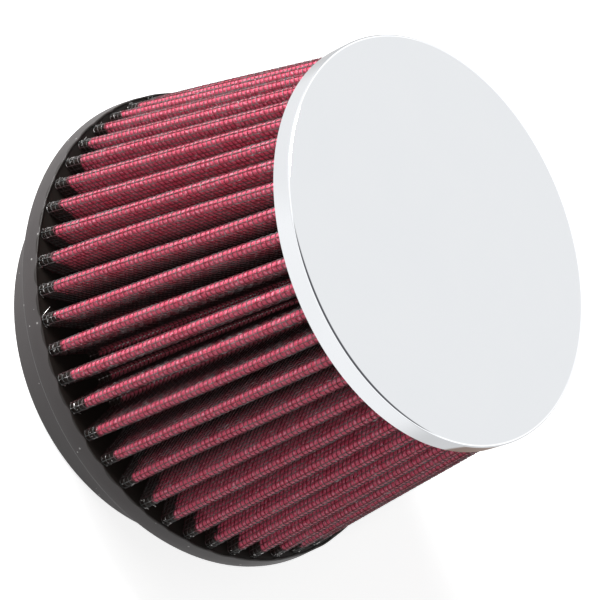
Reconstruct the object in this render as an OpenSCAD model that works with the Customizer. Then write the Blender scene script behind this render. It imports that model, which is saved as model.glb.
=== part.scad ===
// Tapered clamp-on air filter: a cone of oiled cotton gauze, pleated between two wire screens,
// moulded into a rubber base with a wide neck and closed by a chromed cap.
// The axis is +Z and the origin is the centre of the neck's mouth. All lengths are millimetres.

/* [Neck] */
// Inside diameter of the neck, which slides over the intake tube
neck_bore_d = 114.3; // [92:0.1:116]
// Wall thickness of the neck
neck_wall = 6.35; // [4:0.05:8]
// Length of the neck below the base ring, the room for a band clamp
neck_length = 21.8; // [14:0.1:40]
// Lead-in chamfer inside the mouth
mouth_chamfer = 1.2; // [0.5:0.1:2]
// Radius where the neck runs into the underside of the base ring
neck_root_r = 2.5; // [1:0.1:4]

/* [Base ring] */
// Outside diameter of the ring at the edge of its lip
ring_d = 151; // [146:0.1:170]
// Height of the ring from its underside to the edge of the lip
ring_height = 6.4; // [4:0.1:12]
// Outward slope of the ring's side, from the lip down to the underside
ring_draft = 0.7; // [0:0.1:1.5]
// Radius on the moulded outer corners
mould_r = 1; // [0.4:0.1:1.8]
// Thickness of the lip that stands round the feet of the pleats
lip_wall = 0.6; // [0.5:0.1:3]
// Height of the lip above the face that the pleats stand on
lip_rise = 1.2; // [0.6:0.1:2.5]

/* [Pleats] */
// Number of pleats round the cone
pleat_count = 52; // [40:1:58]
// Depth of a pleat, from the outside of a crest to the inside of a fold
pleat_depth = 16; // [12:0.1:17]
// Outside radius of a crest, over the outer screen
crest_r = 1.9; // [1.8:0.05:2.1]
// Radius in the bottom of a valley at the base
valley_r_base = 1.3; // [0.4:0.05:1.6]
// Radius in the bottom of a valley at the cap
valley_r_cap = 0.5; // [0.3:0.05:0.6]
// Thickness of each woven wire screen
screen_t = 0.45; // [0.3:0.05:0.5]
// Thickness of the gauze plies together
gauze_t = 0.7; // [0.5:0.05:0.8]
// Clearance between one layer and the next
layer_gap = 0.05; // [0.02:0.01:0.08]
// Clearance between the lip and the feet of the crests
foot_clearance = 0.2; // [0.1:0.1:1.5]
// Clearance between the cap's skirt and the heads of the crests
head_clearance = 0.9; // [0.2:0.1:1.5]

/* [End cap] */
// Outside diameter of the cap
cap_d = 121; // [114:0.1:130]
// Height of the cap's skirt, from its edge to the top face
cap_skirt = 6.5; // [5:0.1:12]
// Thickness of the sheet that the cap is pressed from
cap_sheet = 0.8; // [0.5:0.1:1.1]
// Outside radius between the skirt and the top face
cap_corner_r = 1.3; // [1.3:0.1:2.5]
// Thickness of the potting disc in which the pleats' upper ends are set
potting_t = 4.5; // [3:0.1:8]
// Clearance between the potting and the sheet that it is cast in
bond_gap = 0.05; // [0.02:0.01:0.2]

/* [Body] */
// Height from the edge of the base ring's lip to the top face of the cap
body_height = 90.3; // [50:0.1:150]

/* [Hidden] */
$fn = 120;

// Levels along the axis
lip_z = neck_length + ring_height;
foot_z = lip_z - lip_rise;
top_z = lip_z + body_height;
cap_under_z = top_z - cap_sheet;
potting_z = cap_under_z - bond_gap - potting_t;

// Radii
bore_r = neck_bore_d/2;
neck_r = bore_r + neck_wall;
lip_r = ring_d/2;
lip_inner_r = lip_r - lip_wall;
cap_r = cap_d/2;
cap_inner_r = cap_r - cap_sheet;
cap_inner_corner_r = cap_corner_r - cap_sheet;
foot_crest_r = lip_inner_r - foot_clearance;
head_crest_r = cap_inner_r - bond_gap - head_clearance;

// The pleated pack: how far each layer's two faces lie inside the outermost surface
pack_t = 2*screen_t + gauze_t + 2*layer_gap;
outer_screen_faces = [0, screen_t];
gauze_faces = [screen_t + layer_gap, screen_t + layer_gap + gauze_t];
inner_screen_faces = [pack_t - screen_t, pack_t];
half_pitch = 180/pleat_count;
crest_steps = 4;
valley_steps = 3;

function unit(v) = v/norm(v);
function turned(v, a) = [v.x*cos(a) - v.y*sin(a), v.x*sin(a) + v.y*cos(a)];
function arc(centre, r, from, to, steps) =
    [for (i = [0:steps]) centre + r*[cos(from + (to - from)*i/steps), sin(from + (to - from)*i/steps)]];

// Plan of one pleat at a level. Its crest is an arc on the x axis, its valley is an arc on the line
// halfway to the next pleat, and the straight wall is the tangent that crosses between the two.
// inset is the distance inside the outermost surface, which leaves the walls of all layers parallel.
function pleat_plan(crest_reach, valley_r, inset) =
    let (
        crest_c = [crest_reach - crest_r, 0],
        valley_c = (crest_reach - pleat_depth + pack_t + valley_r)*[cos(half_pitch), sin(half_pitch)],
        between = valley_c - crest_c,
        wall_normal = turned(unit(between), -acos((crest_r + valley_r)/norm(between))),
        wall_a = atan2(wall_normal.y, wall_normal.x)
    )
    concat(
        arc(crest_c, crest_r - inset, -wall_a, wall_a, crest_steps),
        arc(valley_c, valley_r + inset, 180 + wall_a, 180 + 2*half_pitch - wall_a, valley_steps));

// The same plan carried all the way round the cone, as points at height z
function pack_ring(crest_reach, valley_r, inset, z) =
    let (plan = pleat_plan(crest_reach, valley_r, inset))
    [for (k = [0:pleat_count - 1], p = plan) let (q = turned(p, k*2*half_pitch)) [q.x, q.y, z]];

function foot_ring(inset) = pack_ring(foot_crest_r, valley_r_base, inset, foot_z);
function head_ring(inset) = pack_ring(head_crest_r, valley_r_cap, inset, potting_z);

// One folded layer: two pleated walls, ruled from the foot to the head, and a rim at each end
module pleated_layer(faces) {
    outer_foot = foot_ring(faces[0]);
    inner_foot = foot_ring(faces[1]);
    outer_head = head_ring(faces[0]);
    inner_head = head_ring(faces[1]);
    n = len(outer_foot);
    function next(i) = (i + 1) % n;
    polyhedron(
        points = concat(outer_foot, inner_foot, outer_head, inner_head),
        faces = [for (i = [0:n - 1], f = [
            [i, 2*n + i, 2*n + next(i)],
            [i, 2*n + next(i), next(i)],
            [n + i, 3*n + next(i), 3*n + i],
            [n + i, n + next(i), 3*n + next(i)],
            [i, next(i), n + next(i)],
            [i, n + next(i), n + i],
            [2*n + i, 3*n + next(i), 2*n + next(i)],
            [2*n + i, 3*n + i, 3*n + next(i)]]) f],
        convexity = 10);
}

// Moulded rubber ring and neck in one piece. The pleats stand on its upper face, inside the lip.
module base_flange() {
    ring_under_r = lip_r + ring_draft;
    edge_r = 0.45*lip_wall;
    color("#504d4e")
    rotate_extrude()
    polygon(concat(
        [[bore_r, mouth_chamfer], [bore_r + mouth_chamfer, 0]],
        arc([neck_r - mould_r, mould_r], mould_r, -90, 0, 5),
        arc([neck_r + neck_root_r, neck_length - neck_root_r], neck_root_r, 180, 90, 5),
        arc([ring_under_r - mould_r, neck_length + mould_r], mould_r, -90, 0, 5),
        arc([lip_r - edge_r, lip_z - edge_r], edge_r, 0, 90, 4),
        [[lip_inner_r, lip_z], [lip_inner_r, foot_z], [bore_r, foot_z]]));
}

// Coated wire cloth on the outside of the pleats
module outer_screen() {
    color("#8a8585") pleated_layer(outer_screen_faces);
}

// Plies of oiled cotton gauze, folded as one between the screens
module gauze_media() {
    color("#c02c4e") pleated_layer(gauze_faces);
}

// Coated wire cloth on the inside of the pleats
module inner_screen() {
    color("#8a8585") pleated_layer(inner_screen_faces);
}

// Disc of potting cast in the cap, which closes the end and holds the pleats' upper ends
module end_potting() {
    disc_r = cap_inner_r - bond_gap;
    disc_top_z = potting_z + potting_t;
    color("#1a1817")
    rotate_extrude()
    polygon(concat(
        [[0, potting_z], [disc_r, potting_z]],
        arc([disc_r - cap_inner_corner_r, disc_top_z - cap_inner_corner_r], cap_inner_corner_r, 0, 90, 5),
        [[0, disc_top_z]]));
}

// Chromed cap pressed from sheet: a flat face, a rounded corner and a plain skirt
module end_cap() {
    color("#e8eaee")
    rotate_extrude()
    polygon(concat(
        [[0, cap_under_z]],
        arc([cap_r - cap_corner_r, top_z - cap_corner_r], cap_inner_corner_r, 90, 0, 5),
        [[cap_inner_r, top_z - cap_skirt], [cap_r, top_z - cap_skirt]],
        arc([cap_r - cap_corner_r, top_z - cap_corner_r], cap_corner_r, 0, 90, 6),
        [[0, top_z]]));
}

base_flange();
outer_screen();
gauze_media();
inner_screen();
end_potting();
end_cap();
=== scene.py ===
import math

import bpy
import numpy as np
from mathutils import Matrix, Vector


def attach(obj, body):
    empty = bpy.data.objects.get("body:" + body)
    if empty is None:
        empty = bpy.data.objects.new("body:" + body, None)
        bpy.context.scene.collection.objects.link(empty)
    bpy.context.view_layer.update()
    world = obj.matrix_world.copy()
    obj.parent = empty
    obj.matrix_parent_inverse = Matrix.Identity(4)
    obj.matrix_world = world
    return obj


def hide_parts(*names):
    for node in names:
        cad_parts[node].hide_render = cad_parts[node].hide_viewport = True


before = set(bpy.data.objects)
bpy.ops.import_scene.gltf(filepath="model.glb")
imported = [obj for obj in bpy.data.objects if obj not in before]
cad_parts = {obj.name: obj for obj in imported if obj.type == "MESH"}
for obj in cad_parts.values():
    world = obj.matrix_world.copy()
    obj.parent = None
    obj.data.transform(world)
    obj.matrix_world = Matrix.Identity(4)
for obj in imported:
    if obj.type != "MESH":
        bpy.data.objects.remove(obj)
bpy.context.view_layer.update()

# Camera: it looks down at the filter from 42 degrees above the floor, rolled over so that the
# filter's axis runs up to the right. A long lens keeps the cap's face nearly a true ellipse.
camera_place = Vector((-0.41262, -0.11621, 0.44628))
camera_right = Vector((0.70009, -0.18559, 0.68951))
camera_up = Vector((-0.01208, 0.96242, 0.27130))


def put_in_scene(name, data):
    """Makes an object of a mesh, curve, lamp or lens."""
    made = bpy.data.objects.new(name, data)
    bpy.context.scene.collection.objects.link(made)
    return made


lens = bpy.data.cameras.new("camera")
lens.lens = 115
lens.sensor_width = 36
lens.clip_start = 0.01
camera = put_in_scene("camera", lens)
turn = Matrix((camera_right, camera_up, camera_right.cross(camera_up))).transposed()
camera.matrix_world = Matrix.Translation(camera_place) @ turn.to_4x4()
bpy.context.scene.camera = camera

# Moulded base: one casting of soft black rubber, with the neck that slides over the intake tube
# and the ring that the pleats' feet are cast into. It leaves the mould with a satin skin; rubber
# has crept inwards over the foot of each crest. Between the pleats its colour is painted far
# darker, partly for that crept film and partly as painted shade where the pleats shadow it.
MM = 0.001  # sizes are in millimetres, and the frame is in metres
PLEATS = 52
BORE_R = 57.15
MOUTH_BEVEL = 1.2
NECK_R = 63.5
NECK_EDGE_R = 1
NECK_FILLET_R = 2.5
RING_UNDER_Z = 21.8
RING_UNDER_R = 76.2
RING_EDGE_R = 1
RING_BEND_Z = 25.3
RING_BEND_OUT = 0.35
LIP_R = 75.5
LIP_INNER_R = 74.9
LIP_EDGE_R = 0.27
LIP_Z = 28.2
LIP_FOOT_Z = 27.1
LIP_FOOT_R = 73
POUR_Z = 27.65
POUR_SAG = 0.12
POUR_LEVEL_R = (70.5, 65)
SPIN_STEPS = PLEATS * 10
CREEP = 0.35
CREEP_WIDTH = 0.6
LIP_WANDER = (0.07, 0.05)
# The crept film of rubber: where it starts on the ring, how far it reaches over the lip, and how
# its edge runs, with a scallop at each crest. Its colour is painted near black, partly as crept
# rubber and partly as painted shade between the pleats.
FILM_Z = (27.2, 27.5)
FILM_REACH = 1.05
FILM_SCALLOP = 1.1
FILM_WANDER = 0.7
FILM_BLUR = 0.06
RUBBER_DARK = (0.034, 0.0295, 0.0295, 1)
RUBBER_PALE = (0.059, 0.0525, 0.0525, 1)
RUBBER_FILM_AND_SHADE = (0.012, 0.009, 0.0075, 1)
DUST = (0.42, 0.41, 0.4, 1)


def arc(centre, radius, start, end, steps):
    """Points of (radius, height) along an arc, with its angles in degrees."""
    angles = [math.radians(start + (end - start) * i / steps) for i in range(steps + 1)]
    return [(centre[0] + radius * math.cos(a), centre[1] + radius * math.sin(a)) for a in angles]


def take(piece):
    """Selects one piece and nothing else."""
    bpy.ops.object.select_all(action="DESELECT")
    piece.select_set(True)
    bpy.context.view_layer.objects.active = piece


def open_for_editing(piece):
    """Selects one piece and opens it in edit mode."""
    take(piece)
    bpy.ops.object.mode_set(mode="EDIT")


def spin_outline(name, outline, steps):
    """Draws a closed outline point by point, in millimetres, and spins it round the axis."""
    bpy.ops.object.select_all(action="DESELECT")
    start = (outline[0][0] * MM, 0, outline[0][1] * MM)
    bpy.ops.mesh.primitive_plane_add(size=0.001, location=start)
    piece = bpy.context.object
    piece.name = name
    bpy.ops.object.transform_apply(location=True)
    open_for_editing(piece)
    bpy.ops.mesh.merge(type="CENTER")
    for here, there in zip(outline, outline[1:] + outline[:1]):
        step = ((there[0] - here[0]) * MM, 0, (there[1] - here[1]) * MM)
        bpy.ops.mesh.extrude_region_move(TRANSFORM_OT_translate={"value": step})
    bpy.ops.mesh.select_all(action="SELECT")
    bpy.ops.mesh.remove_doubles(threshold=1e-7)
    bpy.ops.mesh.spin(steps=steps, angle=math.tau, center=(0, 0, 0), axis=(0, 0, 1))
    bpy.ops.mesh.select_all(action="SELECT")
    bpy.ops.mesh.remove_doubles(threshold=1e-6)
    bpy.ops.mesh.normals_make_consistent(inside=False)
    bpy.ops.object.mode_set(mode="OBJECT")
    return piece


def round_off(piece, angle):
    """Shades a piece smooth, apart from edges sharper than the angle."""
    take(piece)
    bpy.ops.object.shade_smooth_by_angle(angle=math.radians(angle))


def hang(piece, finish, slot, *nodes):
    """Gives a piece its finish and lets it stand for the CAD nodes. The slot is not used."""
    piece.data.materials.clear()
    piece.data.materials.append(finish)
    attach(piece, "root")
    if nodes:
        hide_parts(*nodes)


base_outline = (
    [(BORE_R, MOUTH_BEVEL), (BORE_R + MOUTH_BEVEL, 0)]
    + arc((NECK_R - NECK_EDGE_R, NECK_EDGE_R), NECK_EDGE_R, -90, 0, 4)
    + arc((NECK_R + NECK_FILLET_R, RING_UNDER_Z - NECK_FILLET_R), NECK_FILLET_R, 180, 90, 6)
    + arc((RING_UNDER_R - RING_EDGE_R, RING_UNDER_Z + RING_EDGE_R), RING_EDGE_R, -90, 0, 5)
    + [(LIP_R + RING_BEND_OUT, RING_BEND_Z)]
    + arc((LIP_R - LIP_EDGE_R, LIP_Z - LIP_EDGE_R), LIP_EDGE_R, 4, 90, 5)
    + [(LIP_INNER_R + 0.12, LIP_Z - 0.02), (LIP_INNER_R, LIP_Z - 0.2)]
    + [(LIP_INNER_R - 0.12, POUR_Z + 0.1), (LIP_INNER_R - 0.7, POUR_Z)]
    + [(radius, POUR_Z - POUR_SAG) for radius in POUR_LEVEL_R]
    + [(BORE_R + 0.5, POUR_Z - 0.15), (BORE_R, POUR_Z - 0.65)]
)
base = spin_outline("moulded_base", base_outline, SPIN_STEPS)

# The lip bulges inwards at each crest, and its edge wanders a little from round
for vertex in base.data.vertices:
    height = vertex.co.z / MM
    radius = vertex.co.xy.length / MM
    if height > LIP_FOOT_Z and radius > LIP_FOOT_R:
        turned = math.atan2(vertex.co.y, vertex.co.x) * PLEATS
        crest_share = max(0.0, math.cos(turned)) ** 3
        inward = CREEP * crest_share * min(1.0, max(0.0, (LIP_R - 0.05 - radius) / CREEP_WIDTH))
        wander = LIP_WANDER[0] * math.sin(turned * 0.37 + 1.3) + LIP_WANDER[1] * math.sin(turned * 0.83)
        up_lip = min(1.0, (height - LIP_FOOT_Z) / 0.8)
        vertex.co.xy *= (radius - inward + wander * up_lip) / radius
round_off(base, 40)


def node(tree, kind, settings=None, sockets=None):
    """Adds a shader node. A socket is given as a value or as the output that feeds it."""
    made = tree.nodes.new("ShaderNode" + kind)
    for name, value in (settings or {}).items():
        setattr(made, name, value)
    for socket, value in (sockets or {}).items():
        if isinstance(value, bpy.types.NodeSocket):
            tree.links.new(value, made.inputs[socket])
        else:
            made.inputs[socket].default_value = value
    return made


def sum_of(tree, operation, *values, clamp=False):
    """A Math node's output, from values or outputs."""
    settings = {"operation": operation, "use_clamp": clamp}
    return node(tree, "Math", settings, dict(enumerate(values))).outputs[0]


def above(tree, value, low, high):
    """A soft step: 0 below low and 1 above high."""
    sockets = {"Value": value, "From Min": low, "From Max": high}
    settings = {"interpolation_type": "SMOOTHSTEP"}
    return node(tree, "MapRange", settings, sockets).outputs["Result"]


def below(tree, value, low, high):
    """The soft step turned over: 1 below low and 0 above high."""
    return sum_of(tree, "SUBTRACT", 1.0, above(tree, value, low, high))


def blend(tree, share, first, second):
    """Mixes two colours."""
    return node(tree, "Mix", {"data_type": "RGBA"}, {0: share, 6: first, 7: second}).outputs[2]


def split(tree, vector):
    """A vector's X, Y and Z."""
    return node(tree, "SeparateXYZ", {}, {0: vector}).outputs


def clouds(tree, where, scale, **sockets):
    """Soft noise from 0 to 1, which is finer for a larger scale."""
    return node(tree, "TexNoise", {}, {"Vector": where, "Scale": scale, **sockets}).outputs[0]


def relief(tree, height, strength, distance):
    """Normals tilted by a height from 0 to 1, whose step is the distance in millimetres."""
    sockets = {"Strength": strength, "Distance": distance * MM, "Height": height}
    return node(tree, "Bump", {}, sockets).outputs[0]


def finish_of(name, colour, fixed):
    """A Principled material with its unchanging sockets set. Returns it, its tree, its shader and
    the place of each spot on the piece."""
    finish = bpy.data.materials.new(name)
    finish.use_nodes = True
    finish.diffuse_color = colour
    tree = finish.node_tree
    skin = tree.nodes["Principled BSDF"]
    for socket, value in fixed.items():
        skin.inputs[socket].default_value = value
    return finish, tree, skin, node(tree, "TexCoord").outputs["Object"]


def feed(tree, skin, **outputs):
    """Links outputs to the shader's sockets, such as Base_Color."""
    for socket, output in outputs.items():
        tree.links.new(output, skin.inputs[socket.replace("_", " ")])


def effect(name, inputs, outputs):
    """A node group that takes a place and some numbers and puts out numbers. Returns it and its
    two end nodes."""
    group = bpy.data.node_groups.new(name, "ShaderNodeTree")
    group.interface.new_socket("Vector", in_out="INPUT", socket_type="NodeSocketVector")
    for socket, value in inputs.items():
        made = group.interface.new_socket(socket, in_out="INPUT", socket_type="NodeSocketFloat")
        made.default_value = value
    for socket in outputs:
        group.interface.new_socket(socket, in_out="OUTPUT", socket_type="NodeSocketFloat")
    return group, group.nodes.new("NodeGroupInput"), group.nodes.new("NodeGroupOutput")


def placed(tree, group, vector, **values):
    """Places an effect in a material and returns its outputs. Underscores stand for spaces."""
    sockets = {"Vector": vector}
    sockets.update({name.replace("_", " "): value for name, value in values.items()})
    return node(tree, "Group", {"node_tree": group}, sockets).outputs


# Effect: pale specks of dust and lint. Size is a share of their spacing, and Share is how many of
# the places that could hold one do.
dust, taken, given = effect("dust_specks", {"Scale": 500, "Size": 0.16, "Share": 0.1}, ["Mask"])
cells = node(dust, "TexVoronoi", {}, {"Vector": taken.outputs[0], "Scale": taken.outputs["Scale"]})
speck = sum_of(dust, "LESS_THAN", cells.outputs["Distance"], taken.outputs["Size"])
pick = node(dust, "SeparateColor", {}, {0: cells.outputs["Color"]}).outputs[0]
chosen = sum_of(dust, "LESS_THAN", pick, taken.outputs["Share"])
dust.links.new(sum_of(dust, "MULTIPLY", speck, chosen), given.inputs["Mask"])

# Effect: the fine grain and the slow swell of a cast rubber skin, as one height
GRAIN_HEIGHT = 0.35
grain, taken, given = effect("cast_grain", {"Grain scale": 3000, "Swell scale": 120}, ["Height"])
fine = clouds(grain, taken.outputs[0], taken.outputs["Grain scale"])
slow = clouds(grain, taken.outputs[0], taken.outputs["Swell scale"])
mixed = sum_of(grain, "MULTIPLY_ADD", fine, GRAIN_HEIGHT, slow)
grain.links.new(mixed, given.inputs["Height"])

rubber, tree, skin, spot = finish_of(
    "satin_rubber", (0.085, 0.08, 0.08, 1), {"Specular IOR Level": 0.36})
axes = split(tree, spot)
radius_out = sum_of(tree, "SQRT", sum_of(
    tree, "ADD",
    sum_of(tree, "MULTIPLY", axes["X"], axes["X"]),
    sum_of(tree, "MULTIPLY", axes["Y"], axes["Y"])))
bearing = sum_of(tree, "ARCTAN2", axes["Y"], axes["X"])
crests = sum_of(tree, "COSINE", sum_of(tree, "MULTIPLY", bearing, PLEATS))
scallop = sum_of(tree, "POWER", sum_of(tree, "MULTIPLY_ADD", crests, 0.5, 0.5), 2.0)
over_lip = sum_of(tree, "SUBTRACT", radius_out, axes["Z"])
wandered = sum_of(tree, "MULTIPLY_ADD", clouds(tree, spot, 260.0), FILM_WANDER * MM, over_lip)
film_edge = sum_of(tree, "MULTIPLY_ADD", scallop, FILM_SCALLOP * MM, wandered)
film_end = LIP_R - LIP_Z + FILM_REACH
inside_lip = below(tree, film_edge, (film_end - FILM_BLUR) * MM, (film_end + FILM_BLUR) * MM)
above_foot = above(tree, axes["Z"], FILM_Z[0] * MM, FILM_Z[1] * MM)
film_and_shade = sum_of(tree, "MULTIPLY", inside_lip, above_foot)
cloudy = clouds(tree, spot, 55.0, Detail=4.0)
moulded = blend(tree, cloudy, RUBBER_DARK, RUBBER_PALE)
specks = placed(tree, dust, spot, Scale=420.0, Size=0.13, Share=0.24)["Mask"]
lint = placed(tree, dust, spot, Scale=160.0, Size=0.07, Share=0.45)["Mask"]
dusty = sum_of(tree, "MULTIPLY", sum_of(tree, "MAXIMUM", specks, lint), 0.6)
dusted = blend(tree, dusty, moulded, DUST)
# Painted shade, partly crept rubber: inside the lip the base is painted far darker than its skin
colour = blend(tree, film_and_shade, dusted, RUBBER_FILM_AND_SHADE)
height = placed(tree, grain, spot, Grain_scale=2600.0, Swell_scale=140.0)["Height"]
rough = sum_of(tree, "MULTIPLY_ADD", cloudy, 0.22, 0.36)
feed(tree, skin, Base_Color=colour, Roughness=rough, Normal=relief(tree, height, 0.35, 0.12))
hang(base, rubber, "moulded_rubber", "base_flange")

# Cotton gauze: plies of knitted cotton, dyed by the red oil that they are soaked in and folded as
# one with the screens. It swells a little through every opening of the outer screen. Deep in the
# folds its colour is painted dark as painted shade, and its foot is soaked black where the rubber
# rose in it before it set.
PLEAT_DEPTH = 16.0
CREST_R = 1.9
PACK_T = 1.7
FOOT = {"reach": 74.7, "valley_r": 1.3, "z": 27.0}
HEAD = {"reach": 58.75, "valley_r": 0.5, "z": 113.15}
HALF_PITCH = math.pi / PLEATS
HOOPS = 55
WIRE_PITCH = 1.5875
GAUZE_INSET = 0.36
GAUZE_T = 0.8
GAUZE_LEVELS = 14
# How far crests and valleys stand out of line, in millimetres: round the cone and outwards, once
# from foot to head, and the same two with a turn at half height
LEAN = (0.2, 0.1, 0.1, 0.05)
LEAN_R = 65
# Depths inside the crests and levels above the floor, in millimetres, between which the looks
# of the cloth change. Between the COTTON_SHADE depths painted shade darkens the folds, and
# between the COTTON_VALLEY depths it lifts again at the floor of each valley.
COTTON_SHADE = (3.5, 10.0)
COTTON_VALLEY = (14.4, 14.6)
OIL_DEPTH = (1.2, 4.0)
SOAK_TOP = (28.1, 29.1)
SOAK_RAGGED = 8.0
COTTON_OILED_AND_SHADED_AT_WIRE = (0.435, 0.03, 0.055, 1)
COTTON_IN_OPENING = (0.54, 0.063, 0.123, 1)
COTTON_FUZZ_AND_HIGHLIGHT = (0.63, 0.26, 0.345, 1)
COTTON_PAINTED_FOLD_SHADE = (0.046, 0.02, 0.017, 1)
COTTON_IN_RUBBER = (0.014, 0.009, 0.0075, 1)
rng = np.random.default_rng(54)


def pleat_plan(end, fold, inset):
    """Points of one pleat in plan, its crest on the x axis. fold runs from 0 in the valley before
    the crest to 5 in the valley after it: a bend, a wall, the crest, a wall and a bend."""
    crest = np.array([end["reach"] - CREST_R, 0.0])
    valley_out = end["reach"] - PLEAT_DEPTH + PACK_T + end["valley_r"]
    valley = valley_out * np.array([math.cos(HALF_PITCH), math.sin(HALF_PITCH)])
    reach = valley - crest
    lean = math.acos((CREST_R + end["valley_r"]) / np.hypot(*reach))
    wall_a = math.atan2(reach[1], reach[0]) - lean
    side = np.where(fold < 2.5, -1.0, 1.0)
    past = np.abs(fold - 2.5)
    on_crest = wall_a * np.clip(past / 0.5, 0, 1)
    crest_xy = crest + (CREST_R - inset)[:, None] * np.c_[np.cos(on_crest), np.sin(on_crest)]
    in_valley = np.clip(past - 1.5, 0, 1)
    bend_a = math.pi + wall_a + (HALF_PITCH - wall_a) * in_valley
    valley_xy = valley + (end["valley_r"] + inset)[:, None] * np.c_[np.cos(bend_a), np.sin(bend_a)]
    along = np.clip(past - 0.5, 0, 1)[:, None]
    xy = crest_xy * (1 - along) + valley_xy * along
    xy[:, 1] *= side
    return xy


# The length round a pleat, measured half a millimetre inside the outer screen at half height
fold_steps = np.linspace(0, 5, 2001)
half_inside = np.full(fold_steps.shape, 0.5)
foot_plan = pleat_plan(FOOT, fold_steps, half_inside)
head_plan = pleat_plan(HEAD, fold_steps, half_inside)
walked = np.r_[0, np.cumsum(np.hypot(*np.diff(0.5 * (foot_plan + head_plan), axis=0).T))]
PLEAT_LENGTH = walked[-1]
AXIAL_WIRES = 2 * round(PLEATS * PLEAT_LENGTH / WIRE_PITCH / 2)

# Each crest and each valley of the real pack stands a little out of line, most at half height
lean_knots = rng.normal(0, 1, (2 * PLEATS, 4)) * np.array(LEAN)


def on_pack(around, up, inset):
    """Points of the folded pack, in metres. around counts pleats round the cone, up runs from 0 at
    the foot to 1 at the head, and inset is the depth in millimetres inside the outer screen."""
    around, up, inset = np.broadcast_arrays(
        *(np.atleast_1d(value).astype(float) for value in (around, up, inset)))
    pleat = np.floor(around)
    fold = np.interp((around - pleat) * PLEAT_LENGTH, walked, fold_steps)
    foot = pleat_plan(FOOT, fold, inset)
    head = pleat_plan(HEAD, fold, inset)
    xy = foot + (head - foot) * up[:, None]
    knot = (2 * around) % (2 * PLEATS)
    before = np.floor(knot).astype(int)
    ease = 0.5 - 0.5 * np.cos(math.pi * (knot - before))
    lean = lean_knots[before % (2 * PLEATS)] * (1 - ease)[:, None]
    lean = lean + lean_knots[(before + 1) % (2 * PLEATS)] * ease[:, None]
    once = np.sin(math.pi * up)
    twice = np.sin(2 * math.pi * up)
    radial = 1 + (lean[:, 1] * once + lean[:, 3] * twice) / LEAN_R
    angle = pleat * 2 * HALF_PITCH + (lean[:, 0] * once + lean[:, 2] * twice) / LEAN_R
    x = (xy[:, 0] * np.cos(angle) - xy[:, 1] * np.sin(angle)) * radial
    y = (xy[:, 0] * np.sin(angle) + xy[:, 1] * np.cos(angle)) * radial
    z = FOOT["z"] + (HEAD["z"] - FOOT["z"]) * up
    return np.c_[x, y, z] * MM


def share_of_pleat(folds):
    """The share of a pleat's length that lies before each fold step."""
    return np.interp(np.array(folds), fold_steps, walked) / PLEAT_LENGTH


def pleated_sheet(name, inset, thickness, columns, levels):
    """A folded sheet, with a map that counts axial wires one way and hoops the other."""
    share = share_of_pleat(columns)
    around = np.concatenate([k + share[:-1] for k in range(PLEATS)] + [[PLEATS]])
    up = np.linspace(0, 1, levels)
    wide = len(around) - 1
    grid_around, grid_up = np.meshgrid(around[:-1], up)
    points = on_pack(grid_around.ravel(), grid_up.ravel(), inset)
    faces = []
    marks = []
    for j in range(levels - 1):
        for i in range(wide):
            after = (i + 1) % wide
            faces.append((j * wide + i, j * wide + after, (j + 1) * wide + after, (j + 1) * wide + i))
            for a, u in ((i, j), (i + 1, j), (i + 1, j + 1), (i, j + 1)):
                marks.append((around[a] * AXIAL_WIRES / PLEATS, up[u] * HOOPS - 0.5))
    mesh = bpy.data.meshes.new(name)
    mesh.from_pydata(points.tolist(), [], faces)
    cloth_map = mesh.uv_layers.new(name="cloth")
    cloth_map.data.foreach_set("uv", np.array(marks).ravel())
    sheet = put_in_scene(name, mesh)
    thick = sheet.modifiers.new("thickness", "SOLIDIFY")
    thick.thickness = thickness * MM
    thick.offset = -1
    take(sheet)
    bpy.ops.object.modifier_apply(modifier="thickness")
    return sheet


gauze_columns = [0, 0.5, 1, 1.25, 1.5, 1.75, 2, 2.12, 2.25, 2.37, 2.5]
gauze_columns += [5 - c for c in gauze_columns[-2::-1]]
gauze = pleated_sheet("pleated_gauze", GAUZE_INSET, GAUZE_T, gauze_columns, GAUZE_LEVELS)
round_off(gauze, 60)

# Effect: how far a spot lies inside the crests of the tapered pack, and its level, in millimetres
TAPER = (HEAD["reach"] - FOOT["reach"]) / (HEAD["z"] - FOOT["z"])
folds, taken, given = effect("fold_depth", {}, ["Depth", "Level"])
axes = split(folds, taken.outputs[0])
level = sum_of(folds, "MULTIPLY", axes["Z"], 1 / MM)
crest_out = sum_of(folds, "MULTIPLY_ADD", level, TAPER, FOOT["reach"] - FOOT["z"] * TAPER)
flat = node(folds, "CombineXYZ", {}, {0: axes["X"], 1: axes["Y"], 2: 0.0}).outputs[0]
out = node(folds, "VectorMath", {"operation": "LENGTH"}, {0: flat}).outputs["Value"]
depth = sum_of(folds, "SUBTRACT", crest_out, sum_of(folds, "MULTIPLY", out, 1 / MM))
folds.links.new(depth, given.inputs["Depth"])
folds.links.new(level, given.inputs["Level"])


def swell(tree, count, steps):
    """A row of swellings, with so many to each whole number of the count."""
    turned = sum_of(tree, "MULTIPLY", count, math.pi * steps)
    return sum_of(tree, "ABSOLUTE", sum_of(tree, "SINE", turned))


cotton, tree, skin, spot = finish_of(
    "oiled_cotton", (0.5, 0.02, 0.07, 1),
    {"Sheen Weight": 0.05, "Sheen Roughness": 0.4, "Coat Roughness": 0.32, "Specular IOR Level": 0.14})
cloth = node(tree, "UVMap", {"uv_map": "cloth"}).outputs[0]
over = split(tree, cloth)
pillow = sum_of(tree, "POWER", sum_of(
    tree, "MULTIPLY", swell(tree, over[0], 1), swell(tree, over[1], 1)), 0.6)
yarn = sum_of(tree, "MULTIPLY", swell(tree, over[0], 4), swell(tree, over[1], 4))
blotch = clouds(tree, spot, 220.0, Detail=3.0)
fuzz = clouds(tree, cloth, 2.3)
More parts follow.
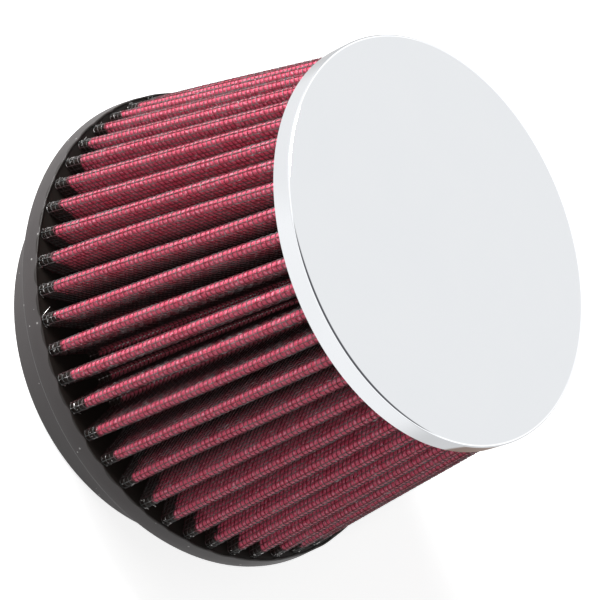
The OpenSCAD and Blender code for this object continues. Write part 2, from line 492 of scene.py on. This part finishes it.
# Random blotches of oil, and painted shade: the cloth is painted darker along the wires and paler in
# the middle of each opening
soak_and_wire_shade = sum_of(tree, "MULTIPLY_ADD", blotch, 0.5, sum_of(tree, "MULTIPLY", pillow, 0.75))
soak_and_wire_shade = sum_of(tree, "SUBTRACT", soak_and_wire_shade, 0.1, clamp=True)
red = blend(tree, soak_and_wire_shade, COTTON_OILED_AND_SHADED_AT_WIRE, COTTON_IN_OPENING)
# Painted highlight, partly pale lint: paler pink fuzz on the swell of each opening
fuzz_and_highlight = sum_of(tree, "MULTIPLY", above(tree, fuzz, 0.46, 0.72), pillow)
red = blend(tree, fuzz_and_highlight, red, COTTON_FUZZ_AND_HIGHLIGHT)
place = placed(tree, folds, spot)
# Painted shade: the cloth is painted darker deep in the folds, and a little less so at the floor of
# each valley
shade_lifted_at_valley = sum_of(tree, "MULTIPLY_ADD", above(tree, place["Depth"], *COTTON_VALLEY), -0.55, 1.0)
painted_fold_shade = sum_of(tree, "MULTIPLY", above(tree, place["Depth"], *COTTON_SHADE), shade_lifted_at_valley)
red = blend(tree, sum_of(tree, "MULTIPLY", painted_fold_shade, 0.78), red, COTTON_PAINTED_FOLD_SHADE)
ragged = clouds(tree, spot, 150.0, Detail=4.0, Roughness=0.65)
rise = sum_of(tree, "MULTIPLY_ADD", ragged, -SOAK_RAGGED, place["Level"])
dry = above(tree, rise, *SOAK_TOP)
colour = blend(tree, dry, COTTON_IN_RUBBER, red)
bump = relief(tree, sum_of(tree, "MULTIPLY_ADD", yarn, 0.12, pillow), 0.7, 0.4)
rough = sum_of(tree, "MULTIPLY_ADD", fuzz, 0.3, 0.32)
on_top = sum_of(tree, "MULTIPLY_ADD", above(tree, place["Depth"], *OIL_DEPTH), -0.28, 0.28)
oil = sum_of(tree, "MULTIPLY", dry, on_top)
feed(tree, skin, Base_Color=colour, Roughness=rough, Coat_Weight=oil, Normal=bump)
hang(gauze, cotton, "cotton_gauze", "gauze_media")

# Outer screen: plain-woven steel wire, 16 wires to the inch, coated in grey enamel and folded over
# the gauze. Near the crests each wire weaves over and under the next; deep in the folds, where that
# can't be seen, the wires cross straight. Cut ends stand bare at the foot of each crest. Deep in
# the folds the wires' colour is painted near black as painted shade, and pale dots are painted on
# the hoops at the floor of each valley as painted highlights.
WIRE_D = 0.25
CRIMP = 0.13
SCREEN_INSET = 0.225
CRIMPED_REACH = 6.4
HALFWAY_REACH = 3.3
DEEP_FOLDS = [0, 0.5, 1, 1.3]
DEEP_SINK = 0.05
# Depths and levels, in millimetres, between which the looks of the wires change: painted shade in
# the folds (WIRE_SHADE) and on the walls of the soaked foot (SOAKED_SHADE), and painted highlights
# at the valley floors (WIRE_VALLEY)
WIRE_SHADE = (3.0, 8.0)
WIRE_VALLEY = (14.25, 14.4)
SOAKED_SHADE = (0.5, 1.6)
SOAKED_TOP = (34.5, 37.5)
BARE_TOP = (31.2, 32.2)
ENAMEL_OILY = (0.15, 0.03, 0.042, 1)
ENAMEL_GREY = (0.13, 0.11, 0.115, 1)
ENAMEL_WORN = (0.32, 0.3, 0.3, 1)
ENAMEL_FOLD_SHADE_AND_SOAK = (0.022, 0.012, 0.011, 1)
ENAMEL_AT_FOOT = (0.075, 0.077, 0.075, 1)
PAINTED_GLINT_AND_BARE_STEEL = (0.75, 0.72, 0.72, 1)


def wires(name, runs, diameter, closed):
    """Round wires bent along runs of points."""
    bent = bpy.data.curves.new(name, "CURVE")
    bent.dimensions = "3D"
    bent.bevel_depth = diameter / 2 * MM
    bent.bevel_resolution = 0
    bent.use_fill_caps = not closed
    for run in runs:
        spline = bent.splines.new("POLY")
        spline.points.add(len(run) - 1)
        spline.points.foreach_set("co", np.c_[run, np.ones(len(run))].ravel())
        spline.use_cyclic_u = closed
        spline.use_smooth = True
    piece = put_in_scene(name, bent)
    take(piece)
    bpy.ops.object.convert(target="MESH")
    open_for_editing(piece)
    bpy.ops.mesh.select_all(action="SELECT")
    bpy.ops.mesh.normals_make_consistent(inside=False)
    bpy.ops.object.mode_set(mode="OBJECT")
    return piece


crossings = np.arange(AXIAL_WIRES) * PLEATS / AXIAL_WIRES


def from_crest(around):
    """How far along the cloth a place lies from its crest, in millimetres."""
    return np.abs(around - np.floor(around) - 0.5) * PLEAT_LENGTH


def axial_runs(inset):
    """Straight wires from the foot of the pack to its head."""
    up = np.linspace(0, 1, 6)
    return [on_pack(around, up, inset) for around in crossings]


def crimped_runs(wire):
    """One wire from foot to head, under one hoop and over the next."""
    up = np.r_[0, (np.arange(HOOPS) + 0.5) / HOOPS, 1]
    over_under = np.where((np.arange(HOOPS) + wire) % 2 == 0, -CRIMP, CRIMP)
    return on_pack(crossings[wire], up, SCREEN_INSET - np.r_[0, over_under, 0])


# Stations along a hoop: at each wire near a crest, between the wires on the crest itself, and a few
# in the folds
near_crest = from_crest(crossings) < CRIMPED_REACH
halfway = crossings + 0.5 * PLEATS / AXIAL_WIRES
halfway = halfway[from_crest(halfway) < HALFWAY_REACH]
deep_share = share_of_pleat(DEEP_FOLDS)
deep = np.concatenate([k + np.r_[deep_share, 1 - deep_share[:0:-1]] for k in range(PLEATS)])
stations = np.r_[crossings[near_crest], halfway, deep]
order = np.argsort(stations)


def woven_hoop(hoop):
    """One hoop of the outer screen, over one axial wire and under the next."""
    over_under = np.where((np.flatnonzero(near_crest) + hoop) % 2 == 0, CRIMP, -CRIMP)
    lift = np.r_[over_under, np.zeros(len(halfway)), np.full(len(deep), CRIMP)]
    return on_pack(stations[order], (hoop + 0.5) / HOOPS, SCREEN_INSET - lift[order])


enamel, tree, skin, spot = finish_of(
    "grey_wire_enamel", (0.3, 0.29, 0.29, 1), {"Specular IOR Level": 0.35})
patches = clouds(tree, spot, 700.0, Detail=2.0)
worn = above(tree, patches, 0.6, 0.7)
stain = clouds(tree, spot, 260.0, Detail=3.0)
oily = blend(tree, above(tree, stain, 0.4, 0.62), ENAMEL_OILY, ENAMEL_GREY)
colour = blend(tree, worn, oily, ENAMEL_WORN)
place = placed(tree, folds, spot)
in_foot = below(tree, place["Level"], *BARE_TOP)
soaked = below(tree, place["Level"], *SOAKED_TOP)
# Painted shade: the wires turn near black deep in the folds, and on the walls near the foot, where they
# also lie in crept rubber
foot_soak_and_shade = sum_of(tree, "MULTIPLY", soaked, above(tree, place["Depth"], *SOAKED_SHADE))
fold_shade_and_soak = sum_of(tree, "MAXIMUM", above(tree, place["Depth"], *WIRE_SHADE), foot_soak_and_shade)
colour = blend(tree, sum_of(tree, "MULTIPLY", fold_shade_and_soak, 0.88), colour, ENAMEL_FOLD_SHADE_AND_SOAK)
at_crest = sum_of(tree, "SUBTRACT", 1.0, fold_shade_and_soak, clamp=True)
bare_foot = sum_of(tree, "MULTIPLY", in_foot, at_crest)
colour = blend(tree, bare_foot, colour, ENAMEL_AT_FOOT)
hoop_turns = math.pi * HOOPS / (HEAD["z"] - FOOT["z"])
hoop_phase = sum_of(tree, "MULTIPLY_ADD", place["Level"], hoop_turns, -FOOT["z"] * hoop_turns)
on_hoop = sum_of(tree, "POWER", sum_of(tree, "ABSOLUTE", sum_of(tree, "SINE", hoop_phase)), 3.0)
# Painted highlights: pale, non-metallic dots on the hoops at the floor of each valley. Near the foot of
# the crests the same pale colour is metallic, as bare steel
in_valley = above(tree, place["Depth"], *WIRE_VALLEY)
glints = above(tree, clouds(tree, spot, 90.0), 0.4, 0.52)
painted_sparks = sum_of(tree, "MULTIPLY", sum_of(tree, "MULTIPLY", in_valley, on_hoop), glints)
wet = sum_of(tree, "MULTIPLY", bare_foot, above(tree, patches, 0.56, 0.68))
colour = blend(tree, sum_of(tree, "MAXIMUM", painted_sparks, wet), colour, PAINTED_GLINT_AND_BARE_STEEL)
rough = sum_of(tree, "MULTIPLY_ADD", patches, 0.3, sum_of(tree, "MULTIPLY_ADD", fold_shade_and_soak, 0.25, 0.16))
rubbed = sum_of(tree, "MULTIPLY", worn, sum_of(tree, "MULTIPLY_ADD", fold_shade_and_soak, -0.5, 0.5))
feed(tree, skin, Base_Color=colour, Roughness=rough, Metallic=sum_of(tree, "MAXIMUM", wet, rubbed))

crest_runs = [crimped_runs(wire) for wire in np.flatnonzero(near_crest)]
hang(wires("outer_crest_wires", crest_runs, WIRE_D, False), enamel, "wire_screen", "outer_screen")
straight_runs = axial_runs(SCREEN_INSET + DEEP_SINK)
valley_runs = [straight_runs[wire] for wire in np.flatnonzero(~near_crest)]
hang(wires("outer_valley_wires", valley_runs, WIRE_D, False), enamel, "wire_screen", "outer_screen")
for band, in_band in enumerate(np.array_split(np.arange(HOOPS), 3)):
    runs = [woven_hoop(hoop) for hoop in in_band]
    hoop_wires = wires(f"outer_hoop_wires_{band + 1}", runs, WIRE_D, True)
    hang(hoop_wires, enamel, "wire_screen", "outer_screen")

# Cut ends: where the cloth was cut to length, bare steel shows at the foot of each crest. One
# longer wire has come loose there and lies back over the rubber.
STUBS = (3, 6)  # to a crest, the higher number left out
STUB_UP = (0.006, 0.035)  # a share of the pleats' height
STUB_LENGTH = (0.3, 0.9)
STUB_SPREAD = 0.06
# Where the longer wire starts, and how far it runs from there: round by pleats, inwards and up
STRAY_BEARING = (25.93, 0.33)
STRAY_OUT = (74.6, 2.4)
STRAY_Z = (28.0, 1.5)
STEEL_DULL = (0.45, 0.44, 0.43, 1)
STEEL_BRIGHT = (0.85, 0.84, 0.82, 1)
steel, tree, skin, spot = finish_of("bare_wire_steel", (0.6, 0.6, 0.6, 1), {"Metallic": 1.0})
patches = clouds(tree, spot, 900.0)
colour = blend(tree, patches, STEEL_DULL, STEEL_BRIGHT)
feed(tree, skin, Base_Color=colour, Roughness=sum_of(tree, "MULTIPLY_ADD", patches, 0.3, 0.15))
ends = []
for crest in range(PLEATS):
    for _ in range(rng.integers(*STUBS)):
        along = crest + 0.5 + rng.uniform(-STUB_SPREAD, STUB_SPREAD)
        rooted = on_pack(along, rng.uniform(*STUB_UP), 0.1)[0]
        outward = np.array([rooted[0], rooted[1], 0]) / np.hypot(rooted[0], rooted[1])
        sideways = np.array([-outward[1], outward[0], 0])
        length = rng.uniform(*STUB_LENGTH) * MM
        way = np.array([0, 0, 1.0]) + outward * rng.uniform(0.1, 0.45) + sideways * rng.normal(0, 0.5)
        ends.append(np.array([rooted, rooted + length * way]))
stray = np.linspace(0, 1, 9)
stray_bearing = (STRAY_BEARING[0] - STRAY_BEARING[1] * stray) * 2 * HALF_PITCH
stray_out = STRAY_OUT[0] - STRAY_OUT[1] * stray ** 1.6
stray_z = STRAY_Z[0] + STRAY_Z[1] * np.sin(math.pi / 2 * stray)
stray_xy = np.c_[stray_out * np.cos(stray_bearing), stray_out * np.sin(stray_bearing)]
ends.append(np.c_[stray_xy, stray_z] * MM)
hang(wires("cut_wire_ends", ends, WIRE_D, False), steel, "wire_screen")

# Inner screen: the same wire cloth on the clean side of the gauze, seen up through the neck. It
# holds the folds open against the pull of the engine, and oil doesn't stain it there.
INNER_INSET = 1.47
INNER_WIRE_D = 0.28
INNER_AXIAL_LIFT = 0.1
INNER_HOOP_SINK = 0.08
INNER_FOLDS = [0, 0.5, 1, 2.2, 2.8, 4, 4.5]
ENAMEL_CLEAN = (0.3, 0.29, 0.29, 1)
clean_enamel, tree, skin, spot = finish_of(
    "clean_side_enamel", ENAMEL_CLEAN, {"Specular IOR Level": 0.35})
patches = clouds(tree, spot, 600.0, Detail=2.0)
colour = blend(tree, above(tree, patches, 0.4, 0.7), ENAMEL_GREY, ENAMEL_CLEAN)
feed(tree, skin, Base_Color=colour, Roughness=sum_of(tree, "MULTIPLY_ADD", patches, 0.3, 0.2))
inner_runs = axial_runs(INNER_INSET - INNER_AXIAL_LIFT)
inner_axial = wires("inner_axial_wires", inner_runs, INNER_WIRE_D, False)
hang(inner_axial, clean_enamel, "wire_screen", "inner_screen")
inner_stations = np.concatenate([k + share_of_pleat(INNER_FOLDS) for k in range(PLEATS)])
hoop_inset = INNER_INSET + INNER_HOOP_SINK
for band, in_band in enumerate(np.array_split(np.arange(HOOPS), 2)):
    runs = [on_pack(inner_stations, (hoop + 0.5) / HOOPS, hoop_inset) for hoop in in_band]
    hoop_wires = wires(f"inner_hoop_wires_{band + 1}", runs, INNER_WIRE_D, True)
    hang(hoop_wires, clean_enamel, "wire_screen", "inner_screen")

# Potting disc: black resin poured into the upturned cap, with the pleats' heads stood in it. It
# sets with a dull, slightly uneven face.
RESIN_DARK = (0.006, 0.0055, 0.005, 1)
RESIN_PALE = (0.02, 0.018, 0.017, 1)
resin, tree, skin, spot = finish_of("black_potting", (0.012, 0.011, 0.01, 1), {"IOR": 1.5})
cloudy = clouds(tree, spot, 90.0, Detail=4.0)
colour = blend(tree, cloudy, RESIN_DARK, RESIN_PALE)
height = placed(tree, grain, spot, Grain_scale=900.0, Swell_scale=110.0)["Height"]
rough = sum_of(tree, "MULTIPLY_ADD", cloudy, 0.4, 0.25)
feed(tree, skin, Base_Color=colour, Roughness=rough, Normal=relief(tree, height, 0.6, 0.4))
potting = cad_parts["end_potting"]
potting.data.materials.clear()
potting.data.materials.append(resin)

# End cap: a shallow cup pressed from steel sheet 0.8 mm thick, polished and chromed. It is pushed
# over the heads of the pleats and held by the potting that was poured into it.
CAP_R = 60.5
CAP_TOP_Z = 118.5
CAP_SKIRT = 6.5
CAP_SHEET = 0.8
CAP_CORNER_R = 1.3
CAP_FACE_EDGE = 0.4
CAP_SKIRT_EDGE = 0.2
CAP_INNER_BEVEL = 0.5
CHROME_SMEARED = (0.795, 0.815, 0.84, 1)
CHROME_CLEAN = (0.82, 0.835, 0.855, 1)
bpy.ops.object.select_all(action="DESELECT")
bpy.ops.mesh.primitive_cylinder_add(
    vertices=360, radius=CAP_R * MM, depth=CAP_SKIRT * MM,
    location=(0, 0, (CAP_TOP_Z - CAP_SKIRT / 2) * MM))
cap = bpy.context.object
cap.name = "pressed_cap"
bpy.ops.object.transform_apply(location=True)


def pick_faces(piece, wanted):
    """Selects the faces of a piece whose normals are wanted, and opens it for editing."""
    open_for_editing(piece)
    bpy.ops.mesh.select_all(action="DESELECT")
    bpy.ops.object.mode_set(mode="OBJECT")
    for face in piece.data.polygons:
        face.select = wanted(face.normal)
    bpy.ops.object.mode_set(mode="EDIT")


def raise_faces(height):
    """Extrudes the selected faces upwards, by millimetres."""
    bpy.ops.mesh.extrude_region_move(TRANSFORM_OT_translate={"value": (0, 0, height * MM)})


pick_faces(cap, lambda normal: normal.z > 0.9)
bpy.ops.mesh.region_to_loop()
bpy.ops.mesh.bevel(offset=CAP_CORNER_R * MM, segments=8, affect="EDGES")
bpy.ops.object.mode_set(mode="OBJECT")
pick_faces(cap, lambda normal: normal.z > 0.999)
bpy.ops.mesh.inset(thickness=CAP_FACE_EDGE * MM)
bpy.ops.object.mode_set(mode="OBJECT")
pick_faces(cap, lambda normal: normal.z < -0.9)
bpy.ops.mesh.inset(thickness=CAP_SKIRT_EDGE * MM)
bpy.ops.mesh.inset(thickness=(CAP_SHEET - CAP_SKIRT_EDGE) * MM)
raise_faces(CAP_SKIRT - CAP_SHEET - CAP_INNER_BEVEL)
raise_faces(CAP_INNER_BEVEL)
narrowed = (CAP_R - CAP_SHEET - CAP_INNER_BEVEL) / (CAP_R - CAP_SHEET)
bpy.ops.transform.resize(value=(narrowed, narrowed, 1))
bpy.ops.object.mode_set(mode="OBJECT")
round_off(cap, 35)

chrome, tree, skin, spot = finish_of("polished_chrome", (0.83, 0.84, 0.86, 1), {"Metallic": 1.0})
smear = clouds(tree, spot, 32.0, Detail=5.0, Distortion=1.2)
colour = blend(tree, smear, CHROME_SMEARED, CHROME_CLEAN)
rough = sum_of(tree, "MULTIPLY_ADD", smear, 0.05, 0.035)
haze = clouds(tree, spot, 9.0, Detail=2.0)
feed(tree, skin, Base_Color=colour, Roughness=rough, Normal=relief(tree, haze, 0.12, 0.2))
hang(cap, chrome, "chrome", "end_cap")

# Studio: a pale floor and a white surround, one large lamp high at the back, and a weak one in
# front that the chrome doesn't show. Glossy rays alone see a floor that dims to the back and to
# one side, a warm patch on it, and a dark band in the surround. The floor's dimming and its warm
# patch are painted reflections, standing in for the floor's shade and the object's shadow as the
# chrome mirrors them. Its lengths are in metres.
WHITE = (1, 1, 1, 1)
FLOOR_SIZE = 6
FLOOR_SINK = 0.00002
FLOOR_GLOW = 0.72
MIRRORED_GLOW = 0.88
FLOOR_GREY = (0.8, 0.8, 0.8, 1)
FLOOR_MIRRORED = (0.16, 0.16, 0.16, 1)
BACK_DIM = (0.05, 0.13)
SIDE_DIM = (0.0, 0.07)
FRONT_LIFT = (-0.16, -0.06)
PATCH_PLACE = (0.13, -0.097, 0.0)
PATCH_EDGE = (0.036, 0.047)
PAINTED_REFLECTION_TINT = (0.37, 0.26, 0.21, 1)
BAND_WAY = (-0.68, -0.73, 0.0)
BAND_SIDES = (0.3, 0.55)
BAND_HEIGHT = 0.55
BAND_EDGE = (0.25, 0.4)
BAND_DARK = (0.12, 0.12, 0.13, 1)
HORIZON = (0.32, 0.5)
HORIZON_LIGHT = (1.35, 1.35, 1.35, 1)
SURROUND_GREY = (0.22, 0.22, 0.22, 1)
LAMP_AIM_Z = 0.06
bpy.ops.object.select_all(action="DESELECT")
bpy.ops.mesh.primitive_plane_add(size=FLOOR_SIZE, location=(0, 0, -FLOOR_SINK))
floor = bpy.context.object
floor.name = "floor"
paper = bpy.data.materials.new("pale_paper")
paper.use_nodes = True
tree = paper.node_tree
tree.nodes.clear()
rays = node(tree, "LightPath").outputs
where = node(tree, "TexCoord").outputs["Object"]
floor_axes = split(tree, where)
# Painted reflections: for glossy rays the floor glows dimmer to the back and to one side, and warmer in
# one patch
back_dim = above(tree, floor_axes["Y"], *BACK_DIM)
side_dim = above(tree, floor_axes["X"], *SIDE_DIM)
front_lift = below(tree, floor_axes["Y"], *FRONT_LIFT)
dimmed = sum_of(tree, "MULTIPLY_ADD", side_dim, -0.26, MIRRORED_GLOW)
dimmed = sum_of(tree, "MULTIPLY_ADD", back_dim, -0.12, dimmed)
dimmed = sum_of(tree, "MULTIPLY_ADD", front_lift, 0.05, dimmed)
to_glossy = sum_of(tree, "MULTIPLY", rays["Is Glossy Ray"], dimmed)
seen = sum_of(tree, "MULTIPLY_ADD", rays["Is Camera Ray"], FLOOR_GLOW, to_glossy)
shade = blend(tree, rays["Is Glossy Ray"], FLOOR_GREY, FLOOR_MIRRORED)
lit = node(tree, "BsdfDiffuse", {}, {"Color": shade})
off_patch = node(tree, "VectorMath", {"operation": "DISTANCE"}, {0: where, 1: PATCH_PLACE})
on_patch = below(tree, off_patch.outputs["Value"], *PATCH_EDGE)
on_patch = sum_of(tree, "MULTIPLY", on_patch, rays["Is Glossy Ray"])
tint = blend(tree, on_patch, WHITE, PAINTED_REFLECTION_TINT)
glow = node(tree, "Emission", {}, {"Color": tint, "Strength": seen})
both = node(tree, "AddShader", {}, {0: lit.outputs[0], 1: glow.outputs[0]})
node(tree, "OutputMaterial", {}, {"Surface": both.outputs[0]})
floor.data.materials.append(paper)

world = bpy.data.worlds.new("studio")
bpy.context.scene.world = world
world.use_nodes = True
tree = world.node_tree
tree.nodes.clear()
rays = node(tree, "LightPath").outputs
way = node(tree, "TexCoord").outputs["Generated"]
height_seen = split(tree, way)["Z"]
toward = node(tree, "VectorMath", {"operation": "DOT_PRODUCT"}, {0: way, 1: BAND_WAY})
off_band = sum_of(tree, "ABSOLUTE", sum_of(tree, "SUBTRACT", height_seen, BAND_HEIGHT))
band_width = above(tree, toward.outputs["Value"], *BAND_SIDES)
on_band = sum_of(tree, "MULTIPLY", band_width, below(tree, off_band, *BAND_EDGE))
open_sky = blend(tree, above(tree, height_seen, *HORIZON), HORIZON_LIGHT, WHITE)
surround = blend(tree, on_band, open_sky, BAND_DARK)
direct = sum_of(tree, "MAXIMUM", rays["Is Camera Ray"], rays["Is Transmission Ray"])
indirect = blend(tree, rays["Is Glossy Ray"], SURROUND_GREY, surround)
shown = blend(tree, direct, indirect, WHITE)
sky = node(tree, "Background", {}, {"Color": shown, "Strength": 1.0})
node(tree, "OutputWorld", {}, {"Surface": sky.outputs[0]})


def lamp(name, way, distance, size, level):
    """A square lamp that adds the given level to a white face turned to it."""
    light = bpy.data.lights.new(name, "AREA")
    light.shape = "SQUARE"
    light.size = size
    light.energy = level * math.pi ** 2 * distance ** 2
    stand = put_in_scene(name, light)
    toward = Vector(way).normalized()
    stand.matrix_world = (
        Matrix.Translation(toward * distance + Vector((0, 0, LAMP_AIM_Z)))
        @ toward.to_track_quat("Z", "Y").to_matrix().to_4x4())
    return stand


lamp("key", way=(-0.48, 0.83, 0.42), distance=1.0, size=0.5, level=1.95)
front = lamp("front", way=(-0.87, -0.27, 0.42), distance=1.1, size=0.18, level=0.22)
front.visible_glossy = False

bpy.context.scene.view_settings.view_transform = "Standard"
